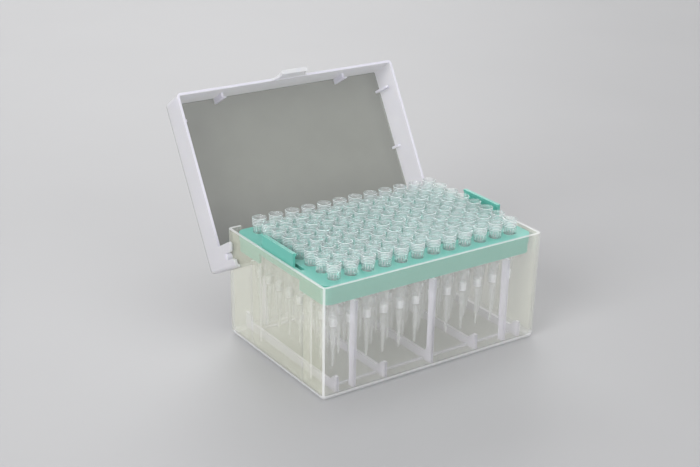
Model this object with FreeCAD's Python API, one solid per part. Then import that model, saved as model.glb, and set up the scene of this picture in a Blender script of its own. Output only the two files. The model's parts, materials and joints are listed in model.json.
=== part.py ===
"""Hinged box of 96 filter pipette tips, lid open.

Millimetres. The origin is on the underside of the box, below the middle of the tip grid.
+X runs along the long side, +Y points to the hinge side, and +Z is up.
"""

import FreeCAD, Part
import math
import os

from FreeCAD import Vector

# Tip grid
COLUMNS = 12
ROWS = 8
PITCH = 9.0

# Box
BOX_LENGTH = 122.3            # outside, at the rim
BOX_WIDTH = 83.0              # outside, at the rim
BOX_HEIGHT = 54.1
BOX_DRAFT = 0.5               # each wall leans in by this much from rim to floor
BOX_WALL = 1.5
BOX_FLOOR = 1.5
BOX_CORNER = 2.5              # radius of the upright corners and of the edge round the underside
REAR_WALL_DROP = 3.1          # the rear wall is this much lower between its corner posts
POST_WIDTH = 7.0

# Ribs inside the box
RIB = 1.2
WALL_RIB_STEP = 43.0          # spacing of the three ribs on each long wall
WALL_RIB_REACH = 4.2          # from the inner face of a long wall
END_RIB_AT = 22.0             # the ribs on a short wall stand this far from its middle
END_RIB_REACH = 5.0
FLOOR_RIB_STEP = 26.0         # spacing of the five ribs across the floor
FLOOR_RIB_HEIGHT = 4.3
FIN_HEIGHT = 8.0              # fin at each end of a floor rib, above the floor
FIN_REACH = 6.5
LONG_RIB_AT = 33.0            # low ribs along the floor, from the middle
LONG_RIB_HEIGHT = 0.8

# Tip rack
RACK_GAP_X = 1.25             # between the rack and the box's rim, at each short wall
RACK_GAP_Y = 1.8              # the same at each long wall
RACK_CORNER = 4.5
RACK_BELOW_RIM = 0.9          # from the box's rim down to the deck's upper face
DECK = 2.0
RACK_DEPTH = 9.2              # from the deck down to the skirt's lower edge, on the wall ribs
RACK_BAND = 4.0               # height of the thicker band round the deck
RACK_STEP = 0.4               # the skirt is set in by this much below the band
RACK_WALL = 1.3
DECK_RIB = 1.0
DECK_RIB_HEIGHT = 4.0
HOLE_FIT = 0.12               # gap round a tip in its hole
HANDLE_WIDTH = 26.0
HANDLE_THICK = 1.3
HANDLE_RISE = 6.5             # above the deck
HANDLE_PROUD = 0.4            # the tab stands out from the band by this much
HANDLE_LIP = 0.5              # bead along the tab's upper edge
SLOT_LENGTH = 34.6            # slot through the deck, inside each handle
SLOT_WIDTH = 2.1

# Tips
TIP_RIM = 3.42                # outer radius of the rim
TIP_HEAD = 7.23               # the rim stands this high above the deck
TIP_NECK = 2.78               # outer radius just below the deck's upper face
TIP_LEDGE = 0.27              # ledge above the neck, on which the tip hangs
TIP_WAIST = 2.2               # outer radius at the filter seat
TIP_SHANK = 1.6               # outer radius below the filter seat
TIP_ORIFICE = 0.5             # outer radius at the end
TIP_LENGTH = 49.9
TIP_WALL = 0.5
TIP_END_WALL = 0.25
SEAT_BELOW_RIM = 30.0         # from the rim down to the filter seat
SHANK_TAPER = 1.2             # height of the step between waist and shank

# Filters
FILTER_LENGTH = 4.0
FILTER_FIT = 0.03

# Hinge
PIN = 3.2                     # diameter
PIN_PROUD = 2.75              # from the short wall's outer face
PIN_FROM_REAR = 3.2           # from the rear wall's outer face, at the rim
PIN_BELOW_RIM = 13.2          # from the box's rim down to the pin's axis
PIN_FIT = 0.08                # gap round the pin in the lid's slots
OPEN_ANGLE = 120.27
STOP_GAP = 0.05               # left between the open lid's rear rim and the rear wall

# Lid
LID_WALL = 1.3
LID_PLATE = 1.5
LID_HEADROOM = 2.97           # between the closed lid's plate and the tips' rims
LID_GAP_X = 0.55              # between the lid's rim and the box, at each short wall
LID_GAP_Y = 1.2               # the same at each long wall, where the rim swings past
LID_DRAFT_X = 0.7
LID_DRAFT_Y = 0.85
LID_CORNER = 2.0              # radius of the corners and of the edge round the plate
LID_RIB = 1.2
LID_SEAT_GAP = 0.15           # left between the closed lid's ribs and the box's rim
FRONT_RIB_AT = 35.7           # ribs inside the front skirt, from the middle
SIDE_RIB_AT = 31.2            # ribs inside each side skirt, from the middle
RIB_FIT = 0.3                 # gap between the ribs' fingers and the box's wall
FINGER = 0.6                  # width of the fingers that reach inside the box
FINGER_REACH = 2.6            # from the box's rim down to the end of a finger
MID_RIB_DEPTH = 7.0           # short rib at the middle of each side skirt

# Lid's ears
EAR_FRONT = 6.2               # from the pin's axis to the ear's front edge
EAR_DROP = 7.3                # from the pin's axis down to the end of each prong
PRONG_FRONT = 2.2             # width of the front prong at its end
EAR_CLEAR = 0.3               # gap beside the box
SNAP = 0.35                   # each snap lip narrows the slot by this much

# Latch tongue
TONGUE_ROOT = 20.8            # width at the rim
TONGUE_TIP = 15.0
TONGUE_DROP = 6.9             # below the rim
TONGUE_FLARE = 1.7
TONGUE_LIP = 2.1              # thickness of the edge

TINY = 1e-6
OVER = 5.0                    # how far cutting tools run past what they cut

box_x = BOX_LENGTH / 2
box_y = BOX_WIDTH / 2
pin_y = box_y - PIN_FROM_REAR
pin_z = BOX_HEIGHT - PIN_BELOW_RIM
rack_x = box_x - BOX_WALL - RACK_GAP_X
rack_y = box_y - BOX_WALL - RACK_GAP_Y
rack_top = BOX_HEIGHT - RACK_BELOW_RIM      # upper face of the deck
rack_foot = rack_top - RACK_DEPTH
slot_outer = rack_x - RACK_WALL
slot_inner = slot_outer - SLOT_WIDTH
tip_top = rack_top + TIP_HEAD
tip_end = tip_top - TIP_LENGTH
seat_z = tip_top - SEAT_BELOW_RIM


def tapered(low, high, radius, z_low, z_high, rounded_end=None):
    """Block with drafted flat sides between two rectangles, its upright edges rounded.

    low and high are the (length, width) at the two heights, centred on the Z axis. The edges
    round the end at rounded_end, one of the two heights, get the same radius.
    """
    x0, y0 = low[0] / 2, low[1] / 2
    x1, y1 = high[0] / 2, high[1] / 2
    solid = Part.makeWedge(-x0, z_low, -y0, -y1, -x1, x0, z_high, y0, y1, x1)
    solid.rotate(Vector(0, 0, 0), Vector(1, 0, 0), 90)
    soft = [edge for edge in solid.Edges if edge.BoundBox.ZLength > 0.5 * (z_high - z_low)]
    if rounded_end is not None:
        soft += edges_at(solid, rounded_end)
    return solid.makeFillet(radius, soft)


def edges_at(shape, z):
    """Edges that lie at one height."""
    found = []
    for edge in shape.Edges:
        if abs(edge.BoundBox.ZMin - z) < 1e-4 and abs(edge.BoundBox.ZMax - z) < 1e-4:
            found.append(edge)
    return found


def block(x0, x1, y0, y1, z0, z1):
    return Part.makeBox(x1 - x0, y1 - y0, z1 - z0, Vector(x0, y0, z0))


def plate_yz(points, x, thick):
    """Flat plate with a (y, z) outline, centred on x."""
    corners = [Vector(x - thick / 2, y, z) for y, z in points]
    face = Part.Face(Part.makePolygon(corners + corners[:1]))
    return face.extrude(Vector(thick, 0, 0))


def plate_xz(points, y, thick):
    """Flat plate with an (x, z) outline, centred on y."""
    corners = [Vector(x, y - thick / 2, z) for x, z in points]
    face = Part.Face(Part.makePolygon(corners + corners[:1]))
    return face.extrude(Vector(0, thick, 0))


def mirrored_x(points):
    return [(-x, z) for x, z in points]


def revolved(points):
    """Solid of revolution about Z from a closed (radius, z) profile."""
    corners = [Vector(r, 0, z) for r, z in points]
    face = Part.Face(Part.makePolygon(corners + corners[:1]))
    return face.revolve(Vector(0, 0, 0), Vector(0, 0, 1), 360)


# ---------------------------------------------------------------- box


def box_outer(z):
    """Outside length and width of the box at a height."""
    lean = BOX_DRAFT * (BOX_HEIGHT - z) / BOX_HEIGHT
    return BOX_LENGTH - 2 * lean, BOX_WIDTH - 2 * lean


def make_box():
    body = tapered(box_outer(0), box_outer(BOX_HEIGHT), BOX_CORNER, 0, BOX_HEIGHT, rounded_end=0)

    inner_corner = max(BOX_CORNER - BOX_WALL, 0.5)
    low = [side - 2 * BOX_WALL for side in box_outer(BOX_FLOOR)]
    high = [side - 2 * BOX_WALL for side in box_outer(BOX_HEIGHT + OVER)]
    hollow = tapered(low, high, inner_corner, BOX_FLOOR, BOX_HEIGHT + OVER, rounded_end=BOX_FLOOR)
    shell = body.cut(hollow)

    # Between its corner posts the rear wall is lower, with round corners at the foot of the gap.
    gap_x = box_x - POST_WIDTH
    gap_z = BOX_HEIGHT - REAR_WALL_DROP
    gap = block(-gap_x, gap_x, box_y - 2 * BOX_WALL, box_y + OVER, gap_z, gap_z + OVER + REAR_WALL_DROP)
    feet = [edge for edge in edges_at(gap, gap_z) if abs(edge.Length - gap.BoundBox.YLength) < TINY]
    gap = gap.makeFillet(REAR_WALL_DROP * 0.4, feet)
    shell = shell.cut(gap)

    ribs = []
    rib_foot = BOX_FLOOR / 2
    # Upright ribs on the long walls, which carry the rack's skirt.
    wall_rib = box_y - BOX_WALL - WALL_RIB_REACH
    for x in (-WALL_RIB_STEP, 0, WALL_RIB_STEP):
        ribs.append(block(x - RIB / 2, x + RIB / 2, wall_rib, box_y, rib_foot, rack_foot))
        ribs.append(block(x - RIB / 2, x + RIB / 2, -box_y, -wall_rib, rib_foot, rack_foot))
    # Upright ribs on the short walls, also under the skirt.
    end_rib = box_x - BOX_WALL - END_RIB_REACH
    for y in (-END_RIB_AT, END_RIB_AT):
        ribs.append(block(end_rib, box_x, y - RIB / 2, y + RIB / 2, rib_foot, rack_foot))
        ribs.append(block(-box_x, -end_rib, y - RIB / 2, y + RIB / 2, rib_foot, rack_foot))
    # Ribs across the floor, with a fin at each end.
    rib_top = BOX_FLOOR + FLOOR_RIB_HEIGHT
    fin_top = BOX_FLOOR + FIN_HEIGHT
    fin_foot = box_y - BOX_WALL - FIN_REACH
    fin_edge = box_y - BOX_WALL - FIN_REACH * 0.35
    for n in (-2, -1, 0, 1, 2):
        across = [(-box_y, rib_foot), (box_y, rib_foot), (box_y, fin_top), (fin_edge, fin_top)]
        across += [(fin_foot, rib_top), (-fin_foot, rib_top), (-fin_edge, fin_top), (-box_y, fin_top)]
        ribs.append(plate_yz(across, n * FLOOR_RIB_STEP, RIB))
    # Low ribs along the floor.
    reach = 2 * FLOOR_RIB_STEP + RIB / 2
    long_top = BOX_FLOOR + LONG_RIB_HEIGHT
    for y in (-LONG_RIB_AT, LONG_RIB_AT):
        ribs.append(block(-reach, reach, y - RIB / 2, y + RIB / 2, rib_foot, long_top))
    ribs = ribs[0].fuse(ribs[1:]).common(body)

    # Hinge pins on the short walls, with a small chamfer at the free end.
    pins = []
    chamfer = PIN * 0.1
    wall_x = box_outer(pin_z)[0] / 2
    for side in (-1, 1):
        root = Vector(side * (wall_x - BOX_WALL / 2), pin_y, pin_z)
        pin = Part.makeCylinder(PIN / 2, BOX_WALL / 2 + PIN_PROUD, root, Vector(side, 0, 0))
        free = [e for e in pin.Edges if abs(abs(e.BoundBox.Center.x) - wall_x - PIN_PROUD) < 1e-4]
        free = [e for e in free if e.BoundBox.YLength > PIN / 2 and e.BoundBox.ZLength > PIN / 2]
        pins.append(pin.makeChamfer(chamfer, free))
    return shell.fuse([ribs] + pins)


# ---------------------------------------------------------------- tip rack


def grid():
    """Centre of every tip as (column, row, x, y)."""
    for column in range(COLUMNS):
        for row in range(ROWS):
            x = (column - (COLUMNS - 1) / 2) * PITCH
            y = (row - (ROWS - 1) / 2) * PITCH
            yield column, row, x, y


def make_rack():
    band_z = rack_top - RACK_BAND
    rack_size = (2 * rack_x, 2 * rack_y)
    band = tapered(rack_size, rack_size, RACK_CORNER, band_z, rack_top)
    skirt_size = (rack_size[0] - 2 * RACK_STEP, rack_size[1] - 2 * RACK_STEP)
    skirt = tapered(skirt_size, skirt_size, RACK_CORNER - RACK_STEP, rack_foot, band_z)
    body = band.fuse(skirt)

    inner_size = (skirt_size[0] - 2 * RACK_WALL, skirt_size[1] - 2 * RACK_WALL)
    inner_corner = RACK_CORNER - RACK_STEP - RACK_WALL
    hollow = tapered(inner_size, inner_size, inner_corner, rack_foot - OVER, rack_top - DECK)
    body = body.cut(hollow)

    # The skirt stops short of the handles, so that fingers reach under the band.
    half_slot = SLOT_LENGTH / 2
    for side in (-1, 1):
        x0, x1 = sorted((side * (rack_x - 2 * RACK_WALL - OVER), side * (rack_x + OVER)))
        body = body.cut(block(x0, x1, -half_slot, half_slot, rack_foot - OVER, band_z))

    # Stiffening ribs under the deck, midway between the holes.
    under = rack_top - DECK
    low = under - DECK_RIB_HEIGHT
    high = under + DECK / 2
    half = DECK_RIB / 2
    ribs = []
    reach = (inner_size[1] + RACK_WALL) / 2
    for n in (-2, -1, 0, 1, 2):
        x = 2 * n * PITCH
        ribs.append(block(x - half, x + half, -reach, reach, low, high))
    reach = slot_inner - DECK_RIB
    for n in (-1, 0, 1):
        y = 2 * n * PITCH
        ribs.append(block(-reach, reach, y - half, y + half, low, high))
    body = body.fuse(ribs)

    # Slot inside each handle, through the deck.
    for side in (-1, 1):
        x0, x1 = sorted((side * slot_inner, side * slot_outer))
        body = body.cut(block(x0, x1, -half_slot, half_slot, band_z - OVER, rack_top + OVER))

    # Handle tabs, with a bead along the upper edge.
    tabs = []
    face = rack_x + HANDLE_PROUD
    half = HANDLE_WIDTH / 2
    handle_top = rack_top + HANDLE_RISE
    lip_z = handle_top - 2 * HANDLE_LIP
    for side in (-1, 1):
        tab = [(face - HANDLE_THICK, band_z), (face, band_z), (face, handle_top)]
        tab += [(face - HANDLE_THICK - HANDLE_LIP, handle_top), (face - HANDLE_THICK - HANDLE_LIP, lip_z)]
        tab += [(face - HANDLE_THICK, lip_z - HANDLE_LIP)]
        if side < 0:
            tab = mirrored_x(tab)
        tabs.append(plate_xz(tab, 0, HANDLE_WIDTH))
    body = body.fuse(tabs)

    holes = []
    hole = TIP_NECK + HOLE_FIT
    for column, row, x, y in grid():
        holes.append(Part.makeCylinder(hole, DECK + 2 * OVER, Vector(x, y, under - OVER)))
    return body.cut(Part.makeCompound(holes))


# ---------------------------------------------------------------- tips and filters


def bore_radius(z):
    """Radius of a tip's bore above the filter seat."""
    share = (z - seat_z) / (tip_top - seat_z)
    return (TIP_WAIST - TIP_WALL) + share * (TIP_RIM - TIP_WAIST)


def make_tip():
    outside = [(TIP_RIM, tip_top), (TIP_NECK + TIP_LEDGE, rack_top), (TIP_NECK, rack_top)]
    outside += [(TIP_WAIST, seat_z), (TIP_SHANK, seat_z - SHANK_TAPER), (TIP_ORIFICE, tip_end)]
    inside = [(TIP_ORIFICE - TIP_END_WALL, tip_end), (TIP_SHANK - TIP_WALL, seat_z)]
    inside += [(bore_radius(seat_z), seat_z), (bore_radius(tip_top), tip_top)]
    return revolved(outside + inside)


def make_filter():
    low = bore_radius(seat_z) - FILTER_FIT
    high = bore_radius(seat_z + FILTER_LENGTH) - FILTER_FIT
    top = seat_z + FILTER_LENGTH
    return revolved([(0, seat_z), (low, seat_z), (high, top), (0, top)])


# ---------------------------------------------------------------- lid


# Outer half sizes of the lid at its rim. With the lid open, the outer corner of the rear rim
# meets the rear wall, and this sets how deep the skirt is.
lid_rim_x = box_x + LID_GAP_X + LID_WALL
lid_rim_y = box_y + LID_GAP_Y + LID_WALL
plate_z = tip_top + LID_HEADROOM + LID_PLATE
turn = math.radians(OPEN_ANGLE)


def rim_over_pin():
    """Height of the closed lid's rim above the pin's axis."""
    across = lid_rim_y - pin_y
    rise = 0.0
    for _ in range(20):
        contact_z = pin_z - across * math.sin(turn) + rise * math.cos(turn)
        wall = box_outer(contact_z)[1] / 2 - pin_y + STOP_GAP
        rise = (wall - across * math.cos(turn)) / math.sin(turn)
    return rise


rim_z = pin_z + rim_over_pin()
lid_depth = plate_z - rim_z


def lid_half(z):
    """Outer half length and half width of the closed lid at a height."""
    share = (z - rim_z) / lid_depth
    return lid_rim_x - share * LID_DRAFT_X, lid_rim_y - share * LID_DRAFT_Y


def lid_block(inset, z_low, z_high, corner):
    low = [2 * (half - inset) for half in lid_half(z_low)]
    high = [2 * (half - inset) for half in lid_half(z_high)]
    return tapered(low, high, corner, z_low, z_high, rounded_end=z_high)


def make_lid():
    foot = pin_z - EAR_DROP
    outer = lid_block(0, foot - OVER, plate_z, LID_CORNER)
    inner_corner = max(LID_CORNER - LID_WALL, 0.5)
    inner = lid_block(LID_WALL, foot - 2 * OVER, plate_z - LID_PLATE, inner_corner)
    wall = outer.cut(inner)

    # The skirt ends at the rim, apart from an ear beside each short wall of the box.
    far = lid_rim_x + 4 * OVER
    wide = lid_rim_y + 4 * OVER
    kept = block(-far, far, -wide, wide, rim_z, plate_z + OVER).fuse([ear_outline(-1), ear_outline(1)])
    skirt = wall.common(kept)

    # Ribs inside the skirt.
    top = plate_z - LID_PLATE / 2
    seat = BOX_HEIGHT + LID_SEAT_GAP
    finger_end = BOX_HEIGHT - FINGER_REACH
    bevel = FINGER
    ribs = []
    y_out = box_outer(BOX_HEIGHT)[1] / 2 - BOX_WALL - RIB_FIT
    y_in = y_out - FINGER
    for x in (-FRONT_RIB_AT, FRONT_RIB_AT):
        shape = [(-y_in, top), (-y_in, finger_end + bevel), (-y_out, finger_end), (-y_out, seat)]
        shape += [(-lid_rim_y, seat), (-lid_rim_y, top)]
        ribs.append(plate_yz(shape, x, LID_RIB))
    x_out = box_outer(BOX_HEIGHT)[0] / 2 - BOX_WALL - RIB_FIT
    x_in = x_out - FINGER
    # The front pair of side ribs have fingers. The rear pair have none, to swing clear of the posts.
    front_rib = [(x_in, top), (x_in, finger_end + 2 * bevel), (x_out, finger_end + bevel), (x_out, seat)]
    front_rib += [(lid_rim_x, seat), (lid_rim_x, top)]
    rear_rib = [(x_in, top), (x_in, seat), (lid_rim_x, seat), (lid_rim_x, top)]
    for y, shape in ((-SIDE_RIB_AT, front_rib), (SIDE_RIB_AT, rear_rib)):
        ribs.append(plate_xz(shape, y, LID_RIB))
        ribs.append(plate_xz(mirrored_x(shape), y, LID_RIB))
    short_end = plate_z - MID_RIB_DEPTH
    for side in (-1, 1):
        x0, x1 = sorted((side * x_out, side * lid_rim_x))
        ribs.append(block(x0, x1, -LID_RIB / 2, LID_RIB / 2, short_end, top))
    ribs = ribs[0].fuse(ribs[1:]).common(outer)

    return skirt.fuse([make_tongue(), ribs])


def ear_outline(side):
    """Outline of a slotted ear that snaps over a hinge pin, seen along the pin, as a thick plate."""
    foot = pin_z - EAR_DROP
    slot = PIN / 2 + PIN_FIT
    rear = lid_rim_y + OVER
    near = pin_y - EAR_FRONT
    tip = near + PRONG_FRONT
    round_off = PRONG_FRONT / 2
    top = rim_z + OVER
    x0, x1 = sorted((side * (box_x + EAR_CLEAR), side * (lid_rim_x + 2 * OVER)))
    ear = [(near, top), (near, foot + round_off), (near + round_off, foot), (tip, foot + round_off / 2)]
    mouth = foot + 2 * round_off
    lip = pin_z - PIN / 2 - 2 * SNAP
    for way in (-1, 1):
        edge = [(pin_y + way * slot, mouth), (pin_y + way * slot, lip - SNAP)]
        edge += [(pin_y + way * (slot - SNAP), lip), (pin_y + way * slot, lip + SNAP)]
        edge += [(pin_y + way * slot, pin_z)]
        ear += edge if way < 0 else edge[::-1]
    ear += [(pin_y + slot + round_off, foot), (rear, foot), (rear, top)]
    plate = plate_yz(ear, (x0 + x1) / 2, x1 - x0)
    start = Vector(x0, pin_y, pin_z)
    return plate.cut(Part.makeCylinder(slot, x1 - x0, start, Vector(1, 0, 0)))


def make_tongue():
    """Latch tongue below the front rim: a flared profile, cut to an outline with hollow sides."""
    face = -lid_half(rim_z)[1]
    foot = rim_z - TONGUE_DROP
    root_z = rim_z + LID_WALL
    edge = face - TONGUE_FLARE
    high = Vector(0, face + LID_WALL / 4, root_z)
    low = Vector(0, edge, foot)
    bend = Vector(0, face - TONGUE_FLARE * 0.3, rim_z - TONGUE_DROP * 0.5)
    front = Part.Arc(high, bend, low).toShape()
    back_low = Vector(0, edge + TONGUE_LIP, foot)
    back_rise = Vector(0, edge + TONGUE_LIP, foot + 0.8)
    back_bend = Vector(0, face + LID_WALL - TONGUE_FLARE * 0.2, rim_z - TONGUE_DROP * 0.45)
    back_high = Vector(0, face + LID_WALL * 0.75, root_z)
    back = Part.makePolygon([low, back_low, back_rise, back_bend, back_high, high])
    face_shape = Part.Face(Part.Wire([front] + back.Edges))
    flared = face_shape.extrude(Vector(TONGUE_ROOT, 0, 0))
    flared.translate(Vector(-TONGUE_ROOT / 2, 0, 0))

    half_root = TONGUE_ROOT / 2
    half_tip = TONGUE_TIP / 2
    y = face - OVER
    sides = []
    for way in (1, -1):
        top = Vector(way * half_root, y, rim_z)
        waist = Vector(way * (half_tip + 0.5), y, rim_z - TONGUE_DROP * 0.35)
        end = Vector(way * half_tip, y, foot - TINY)
        sides.append((top, waist, end))
    (right_top, right_waist, right_end), (left_top, left_waist, left_end) = sides
    up = Vector(0, 0, 2 * LID_WALL)
    edges = [Part.Arc(right_top, right_waist, right_end).toShape()]
    edges.append(Part.makeLine(right_end, left_end))
    edges.append(Part.Arc(left_end, left_waist, left_top).toShape())
    edges.append(Part.makeLine(left_top, left_top + up))
    edges.append(Part.makeLine(left_top + up, right_top + up))
    edges.append(Part.makeLine(right_top + up, right_top))
    outline_block = Part.Face(Part.Wire(edges)).extrude(Vector(0, 4 * OVER, 0))
    return flared.common(outline_block)


# ---------------------------------------------------------------- pieces

box = make_box()
rack = make_rack()
lid = make_lid()
lid.rotate(Vector(0, pin_y, pin_z), Vector(1, 0, 0), -OPEN_ANGLE)

os.makedirs("parts", exist_ok=True)
box.exportStep("parts/base_box.step")
rack.exportStep("parts/tip_rack.step")
lid.exportStep("parts/lid.step")

tip = make_tip()
filter_plug = make_filter()
for column in range(COLUMNS):
    tips = []
    filters = []
    for at, row, x, y in grid():
        if at == column:
            tips.append(tip.translated(Vector(x, y, 0)))
            filters.append(filter_plug.translated(Vector(x, y, 0)))
    Part.makeCompound(tips).exportStep("parts/tips_col_%02d.step" % (column + 1))
    Part.makeCompound(filters).exportStep("parts/filters_col_%02d.step" % (column + 1))
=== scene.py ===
"""Looks of a hinged box of filter pipette tips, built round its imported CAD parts. Metres, +Z up."""

import json
import math

import bmesh
import bpy
from mathutils import Matrix, Vector


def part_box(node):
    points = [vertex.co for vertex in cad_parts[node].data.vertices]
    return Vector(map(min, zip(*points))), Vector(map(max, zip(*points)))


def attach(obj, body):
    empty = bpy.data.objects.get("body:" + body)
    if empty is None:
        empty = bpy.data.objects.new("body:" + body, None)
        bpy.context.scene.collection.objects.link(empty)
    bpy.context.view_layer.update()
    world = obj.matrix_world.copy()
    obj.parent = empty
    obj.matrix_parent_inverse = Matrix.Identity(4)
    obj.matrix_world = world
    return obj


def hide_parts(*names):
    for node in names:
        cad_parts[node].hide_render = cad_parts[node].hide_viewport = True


MM = 0.001

# The mouldings, as the CAD bodies have them
BOX_WALL = 1.5 * MM
LID_WALL = 1.3 * MM
LID_PLATE = 2.2 * MM          # the plate and the rounding of its edge
LID_DRAFT_X = 0.7 * MM
LID_DRAFT_Y = 0.85 * MM
TIP_HEAD = 7.23 * MM          # a tip's rim stands this high above the deck
FILTER_SEAT = 30.0 * MM       # below a tip's rim
PITCH = 9.0 * MM              # of the tip grid
COLUMNS = 12
ROWS = 8

# What is added to them
FROSTED_EDGE = 0.22 * MM      # rounding of the sharp edges
RACK_EDGE = 0.15 * MM
SHARP = math.radians(35)      # edges from this angle on are rounded
FLAT = math.radians(0.5)      # edges up to this one are dissolved first
RINGS = 4                     # round the upper half of a tip's head
RING_START = 3.75 * MM        # above the deck
RING_STEP = 0.76 * MM
RING_HALF = 0.18 * MM         # from a ring's foot up to its crest
RING_PROUD = 0.10             # in millimetres, as the radii of a tip's half section
FLUTES = 16                   # grooves round the lower half
FLUTE_DEPTH = 0.15 * MM
FLUTE_FROM = 0.2 * MM         # above the deck
FLUTE_TO = 3.4 * MM
RIDGE_FROM = 1.2 * MM         # the ridges between flutes are milkier from here up
HEAD_OUTSIDE = 3.0 * MM       # past this radius lies the outside of a tip's head

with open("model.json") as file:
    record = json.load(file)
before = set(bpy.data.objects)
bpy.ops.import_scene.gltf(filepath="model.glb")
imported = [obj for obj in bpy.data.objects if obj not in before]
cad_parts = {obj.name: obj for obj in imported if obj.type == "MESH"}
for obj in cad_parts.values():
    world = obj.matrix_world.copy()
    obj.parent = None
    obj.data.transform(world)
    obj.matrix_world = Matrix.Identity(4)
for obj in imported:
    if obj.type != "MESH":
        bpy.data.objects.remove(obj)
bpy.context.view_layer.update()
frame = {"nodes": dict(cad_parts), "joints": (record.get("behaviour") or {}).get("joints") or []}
nodes = frame["nodes"]
scene = bpy.context.scene


# ---------------------------------------------------------------- materials

PATCH = 18 * MM               # blotches of tone in a moulding
RUB = 6 * MM                  # and of gloss
SATIN = (0.30, 0.40)          # roughness, from and to
GRAIN = 0.25 * MM             # of the mould, and its depth
GRAIN_DEPTH = 0.004 * MM
CLEAR_GRAIN_DEPTH = 0.001 * MM

# Finishes of the frosted plastic: two tones, alpha, milkiness. The walls let most of the view
# through. Ribs and edges hold more milk, because they are seen along their depth.
FROSTED = {
    "wall": ((0.80, 0.81, 0.73), (0.86, 0.86, 0.80), 0.16, 0),
    "end_wall": ((0.79, 0.81, 0.65), (0.85, 0.86, 0.72), 0.26, 0),
    # The plate's dark grey is painted shade: its plastic is as pale as the skirt's.
    "plate": ((0.215, 0.225, 0.193), (0.255, 0.265, 0.233), 0.58, 0),
    "skirt": ((0.74, 0.73, 0.78), (0.79, 0.78, 0.83), 0.68, 0.9),
    "web": ((0.84, 0.81, 0.97), (0.88, 0.85, 0.99), 0.33, 0),
    "rib": ((0.86, 0.84, 0.96), (0.90, 0.88, 0.98), 0.62, 0),
    "edge": ((0.87, 0.88, 0.90), (0.91, 0.92, 0.93), 0.52, 0),
}
# Finishes of the clear plastic, in the order of a tip's materials: two tones, roughness, alpha,
# transmission. The feet are painted faintly teal, painted colour of the rack seen through them; the
# plastic is colourless.
CLEAR = {
    "tip": ((0.89, 0.91, 0.93), (0.92, 0.94, 0.95), (0.08, 0.16), 0.45, 0.72),
    # The crest finish goes on the up-facing faces of the rings and rim: whiter and more opaque, a
    # painted highlight.
    "crest": ((0.92, 0.94, 0.96), (0.95, 0.97, 0.98), (0.10, 0.18), 0.56, 0),
    "ridge": ((0.91, 0.94, 0.95), (0.94, 0.96, 0.97), (0.10, 0.18), 0.36, 0.20),
    "foot": ((0.82, 0.92, 0.90), (0.86, 0.94, 0.92), (0.08, 0.16), 0.26, 0.72),
}


def new_material(name):
    """A new material, its node tree and its Principled shader."""
    material = bpy.data.materials.new(name)
    material.use_nodes = True
    tree = material.node_tree
    return material, tree, tree.nodes["Principled BSDF"]


def object_coordinates(tree):
    """The piece's own coordinates, in metres."""
    return tree.nodes.new("ShaderNodeTexCoord").outputs["Object"]


def noise(tree, coordinates, size, detail=3.0):
    """Noise whose blotches are about size metres across."""
    node = tree.nodes.new("ShaderNodeTexNoise")
    node.inputs["Scale"].default_value = 1 / size
    node.inputs["Detail"].default_value = detail
    tree.links.new(coordinates, node.inputs["Vector"])
    return node.outputs["Fac"]


def between(tree, factor, low, high):
    """A number that runs from low to high over the middle of the noise's range."""
    node = tree.nodes.new("ShaderNodeMapRange")
    node.inputs["From Min"].default_value = 0.3
    node.inputs["From Max"].default_value = 0.7
    node.inputs["To Min"].default_value = low
    node.inputs["To Max"].default_value = high
    tree.links.new(factor, node.inputs["Value"])
    return node.outputs["Result"]


def tint(tree, factor, first, second):
    """A colour that runs from the first to the second with the factor."""
    node = tree.nodes.new("ShaderNodeMix")
    node.data_type = "RGBA"
    node.inputs["A"].default_value = (*first, 1)
    node.inputs["B"].default_value = (*second, 1)
    tree.links.new(factor, node.inputs["Factor"])
    return node.outputs["Result"]


def raised(tree, height, depth):
    """A bump normal from a height between 0 and 1."""
    node = tree.nodes.new("ShaderNodeBump")
    node.inputs["Strength"].default_value = 0.6
    node.inputs["Distance"].default_value = depth
    tree.links.new(height, node.inputs["Height"])
    return node.outputs["Normal"]


def moulded(
    name, first, second, rough, alpha=1.0, transmission=0.0, milky=0.0,
    grain=GRAIN, depth=GRAIN_DEPTH
):
    """Moulded polypropylene: two close tones, uneven gloss, and the fine grain of the mould.

    alpha is how much does not pass straight through a face, transmission how much of that is bent as
    by glass, and milky how much of it spreads inside the plastic.
    """
    material, tree, shader = new_material(name)
    place = object_coordinates(tree)
    patches = noise(tree, place, PATCH)
    tree.links.new(tint(tree, patches, first, second), shader.inputs["Base Color"])
    tree.links.new(between(tree, noise(tree, place, RUB), *rough), shader.inputs["Roughness"])
    tree.links.new(raised(tree, noise(tree, place, grain, 2.0), depth), shader.inputs["Normal"])
    shader.inputs["Alpha"].default_value = alpha
    shader.inputs["Transmission Weight"].default_value = transmission
    shader.inputs["Subsurface Weight"].default_value = milky
    shader.inputs["Subsurface Radius"].default_value = (1.0, 1.0, 0.9)
    shader.inputs["Subsurface Scale"].default_value = 4 * MM
    shader.inputs["IOR"].default_value = 1.49
    return material


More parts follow.
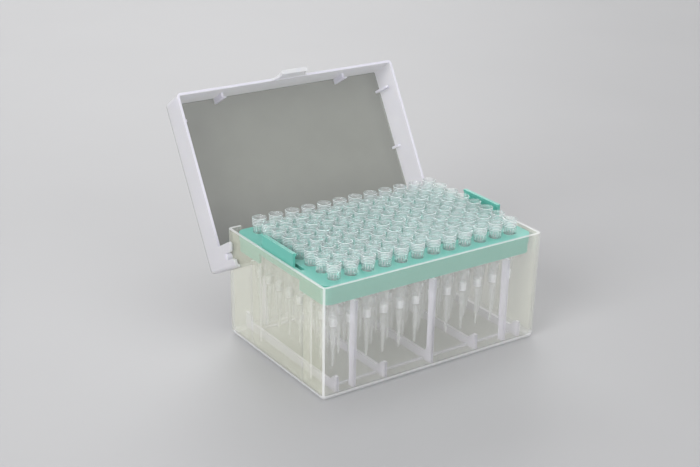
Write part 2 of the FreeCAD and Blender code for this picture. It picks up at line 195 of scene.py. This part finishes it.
def make_materials():
    """Every finish, by its short name."""
    made = {}
    for name, (first, second, alpha, milky) in FROSTED.items():
        made[name] = moulded("frosted_" + name, first, second, SATIN, alpha=alpha, milky=milky)
    for name, (first, second, rough, alpha, transmission) in CLEAR.items():
        made[name] = moulded(
            "clear_" + name, first, second, rough,
            alpha=alpha, transmission=transmission, depth=CLEAR_GRAIN_DEPTH
        )
    made["teal"] = moulded(
        "teal_rack", (0.100, 0.410, 0.342), (0.128, 0.450, 0.380), (0.30, 0.42)
    )
    # The rounded edges of the rack in a paler teal: a painted highlight along them.
    made["teal_edge"] = moulded(
        "teal_rack_painted_highlight", (0.28, 0.66, 0.57), (0.32, 0.70, 0.61), (0.28, 0.38)
    )
    made["filter"] = moulded(
        "white_filter", (0.92, 0.92, 0.98), (0.95, 0.95, 0.99), (0.8, 0.95),
        grain=0.3 * MM, depth=0.08 * MM
    )
    return made


def wear(piece, material):
    """Give a piece one material all over."""
    piece.data.materials.clear()
    piece.data.materials.append(material)


# ---------------------------------------------------------------- pieces


def piece_from(name, shape, body, slot, *materials):
    """New piece from a finished bmesh, riding on a body."""
    mesh = bpy.data.meshes.new(name)
    for material in materials:
        mesh.materials.append(material)
    shape.to_mesh(mesh)
    shape.free()
    piece = bpy.data.objects.new(name, mesh)
    scene.collection.objects.link(piece)
    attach(piece, body)
    return piece


def softened(node, edge):
    """Mesh of a CAD node with its sharp edges rounded, and the faces of those edges."""
    shape = bmesh.new()
    shape.from_mesh(nodes[node].data)
    bmesh.ops.remove_doubles(shape, verts=shape.verts, dist=1e-6)
    bmesh.ops.dissolve_limit(
        shape, angle_limit=FLAT, verts=shape.verts, edges=shape.edges, delimit={"NORMAL"}
    )
    sharp = [e for e in shape.edges if len(e.link_faces) == 2 and e.calc_face_angle(0) > SHARP]
    rounded = bmesh.ops.bevel(
        shape, geom=sharp, offset=edge, segments=2, profile=0.5,
        affect="EDGES", material=-1, clamp_overlap=True
    )
    for face in shape.faces:
        face.smooth = True
    return shape, rounded["faces"]


def frosted_piece(name, node, body, kinds, kind_of):
    """Piece in frosted plastic for a CAD node. kind_of gives each face's finish, one of kinds."""
    shape, edges = softened(node, FROSTED_EDGE)
    for face in edges:
        face.material_index = kinds.index("edge")
    rounded = set(edges)
    for face in shape.faces:
        kind = kind_of(face.calc_center_median(), face.normal)
        if face not in rounded or kind == "edge":
            face.material_index = kinds.index(kind)
    piece = piece_from(name, shape, body, "frosted_polypropylene", *(finish[kind] for kind in kinds))
    piece.modifiers.new("even_shading", "WEIGHTED_NORMAL").keep_sharp = True
    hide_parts(node)


def make_box():
    """The box, milkier on its short walls, its ribs and its edges."""
    low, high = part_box("base_box")
    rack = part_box("tip_rack")[1]
    rounding = low.z + 2.6 * MM             # the foot's rounding ends below this
    floor = low.z + BOX_WALL + 0.3 * MM     # the floor's faces lie below this
    low_ribs = low.z + BOX_WALL + 1.2 * MM  # the low ribs along the floor lie below this
    fin_top = low.z + 10 * MM               # the ribs across the floor end below this
    rims = high.z - 4 * MM                  # all rims lie above this, the rear wall's too
    pin_root = high.x - 2.5 * MM            # the hinge pins stand out past this
    short_ribs = rack.x - 9 * MM            # the ribs on the short walls lie past this
    inner_x = rack.x - 1 * MM               # the walls' own faces lie past these two
    inner_y = high.y - BOX_WALL - 0.9 * MM

    def kind_of(centre, normal):
        corner = min(abs(normal.x), abs(normal.y)) > 0.5 and normal.x * centre.x > 0
        foot = -0.95 < normal.z < -0.05 and centre.z < rounding
        rim = normal.z > 0.9 and centre.z > rims
        if corner or foot or rim:
            return "edge"
        if abs(centre.x) > pin_root:
            return "rib"
        inside = abs(centre.x) < inner_x and abs(centre.y) < inner_y
        if not inside or centre.z < floor:
            return "end_wall" if abs(normal.x) > 0.7 else "wall"
        # The sides of a rib let light through; its narrow faces are seen along their depth.
        on_short_wall = abs(centre.x) > short_ribs and centre.z > fin_top
        side = abs(normal.y if on_short_wall else normal.x) > 0.9
        return "web" if side or centre.z < low_ribs else "rib"

    kinds = ("wall", "end_wall", "web", "rib", "edge")
    frosted_piece("frosted_box", "base_box", "base", kinds, kind_of)


def make_lid():
    """The lid. Its faces are told apart where they lie when it is shut."""
    hinge = frame["joints"][0]
    shut = Matrix.Rotation(math.radians(hinge["range_deg"][1]), 3, Vector(hinge["axis"]))
    pivot = Vector(hinge["pos_m"])
    places = [shut @ (vert.co - pivot) + pivot for vert in nodes["lid"].data.vertices]
    top = max(place.z for place in places)
    # The ribs lie within these, clear of the skirt's wall and its draft.
    inner_x = max(place.x for place in places) - LID_WALL - LID_DRAFT_X - 1.0 * MM
    inner_y = max(place.y for place in places) - LID_WALL - LID_DRAFT_Y - 0.75 * MM

    def kind_of(centre, normal):
        place = shut @ (centre - pivot) + pivot
        # The plate takes the dark grey finish, painted shade.
        if place.z > top - LID_PLATE:
            return "plate"
        if abs(place.x) < inner_x and abs(place.y) < inner_y:
            return "rib"
        down = (shut @ normal).z < -0.9
        return "edge" if down else "skirt"

    frosted_piece("frosted_lid", "lid", "lid", ("plate", "skirt", "rib", "edge"), kind_of)


def make_rack():
    """The tip rack, its rounded edges painted paler teal as a painted highlight."""
    shape, edges = softened("tip_rack", RACK_EDGE)
    # The rounded edges take the paler teal, a painted highlight.
    for face in edges:
        face.material_index = 1
    piece = piece_from(
        "teal_rack", shape, "base", "teal_polypropylene", finish["teal"], finish["teal_edge"]
    )
    piece.modifiers.new("even_shading", "WEIGHTED_NORMAL").keep_sharp = True
    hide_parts("tip_rack")


# ---------------------------------------------------------------- tips


def tip_outline(top, deck, end):
    """Half section of a tip, (radius, z): up the outside from the orifice, over the rim, down the bore.

    Radii are in millimetres until the end.
    """
    seat = top - FILTER_SEAT
    outside = [
        (0.42, end + 0.05 * MM), (0.50, end + 0.25 * MM), (0.995, end + 8.9 * MM),
        (1.56, seat - 1.5 * MM), (1.62, seat - 1.15 * MM), (2.17, seat - 0.1 * MM),
        (2.21, seat + 0.4 * MM), (2.50, seat + 11.5 * MM), (2.77, deck - 0.15 * MM),
        (2.80, deck + 0.02 * MM), (3.03, deck + 0.04 * MM), (3.05, deck + 0.35 * MM),
        (3.09, deck + 1.3 * MM), (3.18, deck + 3.3 * MM), (3.17, deck + 3.6 * MM),
    ]
    for n in range(RINGS):
        foot = deck + RING_START + RING_STEP * n
        radius = 3.18 + 0.034 * n
        outside += [
            (radius, foot), (radius + RING_PROUD, foot + RING_HALF), (radius, foot + 2 * RING_HALF),
        ]
    outside += [
        (3.37, top - 0.42 * MM), (3.42, top - 0.22 * MM), (3.38, top - 0.05 * MM), (3.28, top),
    ]
    bore = [
        (3.05, top - 0.02 * MM), (2.90, top - 0.35 * MM), (2.66, top - 6 * MM), (2.3, top - 15 * MM),
        (1.71, seat + 0.1 * MM), (1.66, seat), (1.12, seat), (1.05, seat - 1.5 * MM),
        (0.62, end + 9 * MM), (0.26, end + 0.2 * MM), (0.26, end),
    ]
    return [(r * MM, z) for r, z in outside + bore]


def one_tip(shape, centre, top, deck, end):
    """Spin a tip's half section about its axis."""
    outline = tip_outline(top, deck, end)
    verts = [shape.verts.new((centre[0] + r, centre[1], z)) for r, z in outline]
    edges = [shape.edges.new(pair) for pair in zip(verts, verts[1:] + verts[:1])]
    axis = (centre[0], centre[1], 0)
    bmesh.ops.spin(
        shape, geom=verts + edges, cent=axis, axis=(0, 0, 1), angle=2 * math.pi,
        steps=3 * FLUTES, use_merge=True
    )


def tip_column(column):
    """The eight tips of one column as one piece, the up-facing faces of their rings whiter as a painted
    highlight, their feet clearer and painted faintly teal.
    """
    node = "tips_col_%02d" % (column + 1)
    low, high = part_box(node)
    deck = high.z - TIP_HEAD
    x = (low.x + high.x) / 2
    first = (low.y + high.y) / 2 - (ROWS - 1) / 2 * PITCH

    def across(place):
        """From a tip's axis to a place on it, level."""
        row = round((place.y - first) / PITCH)
        return Vector((place.x - x, place.y - first - row * PITCH, 0))

    def flute(way):
        """0 in the bottom of a flute, 0.5 in the middle of the ridge beside it."""
        turn = math.atan2(way.y, way.x) * FLUTES / (2 * math.pi)
        return abs(turn - round(turn))

    shape = bmesh.new()
    for row in range(ROWS):
        one_tip(shape, (x, first + row * PITCH), high.z, deck, low.z)
    for vert in shape.verts:
        way = across(vert.co)
        fluted = FLUTE_FROM < vert.co.z - deck < FLUTE_TO and way.length > HEAD_OUTSIDE
        if fluted and flute(way) < 0.1:
            vert.co -= way.normalized() * FLUTE_DEPTH
    bmesh.ops.recalc_face_normals(shape, faces=shape.faces)
    kinds = tuple(CLEAR)
    for face in shape.faces:
        face.smooth = True
        centre = face.calc_center_median()
        way = across(centre)
        height = centre.z - deck
        outward = face.normal.dot(way) > 0
        kind = "tip"
        # Up-facing outer faces of the rings and rim take the crest finish, a painted highlight.
        if outward and face.normal.z > 0.1 and height > RING_START:
            kind = "crest"
        elif RIDGE_FROM < height < FLUTE_TO and flute(way) > 0.4:
            kind = "ridge"
        # The feet take a faint teal, painted colour of the rack seen through them.
        elif 0 < height < FLUTE_TO:
            kind = "foot"
        face.material_index = kinds.index(kind)
    piece = piece_from(
        "tip_column_%02d" % (column + 1), shape, "base", "clear_polypropylene",
        *(finish[kind] for kind in kinds)
    )
    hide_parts(node)


# ---------------------------------------------------------------- stage

FLOOR = 6                     # half the floor's side, in metres
SURROUND_SEEN = 1.0           # strength of the surround where it is looked at
SURROUND_LIGHT = 0.25         # and as light on the object
FOCAL = 1.9146857             # focal length, in widths of the sensor
CAMERA_PLACE = (-0.342626, -0.471724, 0.286868)
CAMERA_TURN = (-34.391, 21.932, 0.983)      # azimuth, elevation and roll in degrees
BOUNCES = 24                  # enough for light to pass a row of tips


def make_stage():
    """Pale floor that runs out of sight, and a pale surround."""
    shape = bmesh.new()
    bmesh.ops.create_grid(shape, x_segments=1, y_segments=1, size=FLOOR)
    mesh = bpy.data.meshes.new("floor")
    shape.to_mesh(mesh)
    shape.free()
    floor = bpy.data.objects.new("floor", mesh)
    floor.location.z = -0.05 * MM       # just clear of the box's underside
    scene.collection.objects.link(floor)
    material, tree, shader = new_material("pale_floor")
    place = object_coordinates(tree)
    pale = tint(tree, noise(tree, place, 0.15), (0.42, 0.42, 0.43), (0.45, 0.45, 0.46))
    tree.links.new(pale, shader.inputs["Base Color"])
    shader.inputs["Roughness"].default_value = 0.55
    wear(floor, material)

    world = bpy.data.worlds.new("surround")
    scene.world = world
    world.use_nodes = True
    tree = world.node_tree
    background = tree.nodes["Background"]
    background.inputs["Color"].default_value = (1.0, 1.0, 1.0, 1)
    # White where it is looked at, mirrored or seen through the tips; dimmer as light on the object.
    path = tree.nodes.new("ShaderNodeLightPath")
    seen = path.outputs["Is Camera Ray"]
    for ray in ("Is Glossy Ray", "Is Transmission Ray"):
        either = tree.nodes.new("ShaderNodeMath")
        either.operation = "MAXIMUM"
        tree.links.new(seen, either.inputs[0])
        tree.links.new(path.outputs[ray], either.inputs[1])
        seen = either.outputs["Value"]
    strength = tree.nodes.new("ShaderNodeMapRange")
    strength.inputs["To Min"].default_value = SURROUND_LIGHT
    strength.inputs["To Max"].default_value = SURROUND_SEEN
    tree.links.new(seen, strength.inputs["Value"])
    tree.links.new(strength.outputs["Result"], background.inputs["Strength"])


def softbox(name, place, aim, size, power):
    """Rectangular lamp that faces a place, in watts."""
    light = bpy.data.lights.new(name, "AREA")
    light.shape = "RECTANGLE"
    light.size, light.size_y = size
    light.energy = power
    lamp = bpy.data.objects.new(name, light)
    lamp.location = place
    lamp.rotation_euler = (Vector(aim) - Vector(place)).to_track_quat("-Z", "Y").to_euler()
    lamp.visible_camera = False
    scene.collection.objects.link(lamp)


def make_lights():
    """Soft lamps all round."""
    softbox("overhead", (0.12, 0.38, 2.25), (0, 0.02, 0.03), (2.25, 1.75), 19)
    softbox("left_key", (-2.0, -0.63, 1.13), (0, 0, 0.05), (1.25, 1.5), 45)
    softbox("front_fill", (0.50, -2.30, 1.00), (0, 0, 0.05), (1.75, 1.25), 16)
    softbox("low_fill", (0.10, -2.50, 0.30), (0, 0.02, 0.06), (1.75, 0.5), 10)
    softbox("rear_rim", (0.88, 2.0, 1.13), (0, 0, 0.06), (1.5, 0.75), 16)


def make_camera():
    """The camera, by its place and its three turns."""
    data = bpy.data.cameras.new("camera")
    data.sensor_width = 36
    data.lens = data.sensor_width * FOCAL
    data.clip_start = 0.01
    data.clip_end = 20
    camera = bpy.data.objects.new("camera", data)
    azimuth, elevation, roll = (math.radians(a) for a in CAMERA_TURN)
    level = math.cos(elevation)
    back = Vector((math.sin(azimuth) * level, -math.cos(azimuth) * level, math.sin(elevation)))
    turned = (-back).to_track_quat("-Z", "Y").to_matrix() @ Matrix.Rotation(roll, 3, "Z")
    camera.matrix_world = Matrix.Translation(Vector(CAMERA_PLACE)) @ turned.to_4x4()
    scene.collection.objects.link(camera)
    scene.camera = camera


# ---------------------------------------------------------------- build

finish = make_materials()
make_box()
make_lid()
make_rack()
for column in range(COLUMNS):
    tip_column(column)
    wear(nodes["filters_col_%02d" % (column + 1)], finish["filter"])

make_stage()
make_lights()
make_camera()
scene.view_settings.view_transform = "Standard"
scene.cycles.max_bounces = BOUNCES
scene.cycles.transmission_bounces = BOUNCES
scene.cycles.transparent_max_bounces = BOUNCES
scene.cycles.use_denoising = True
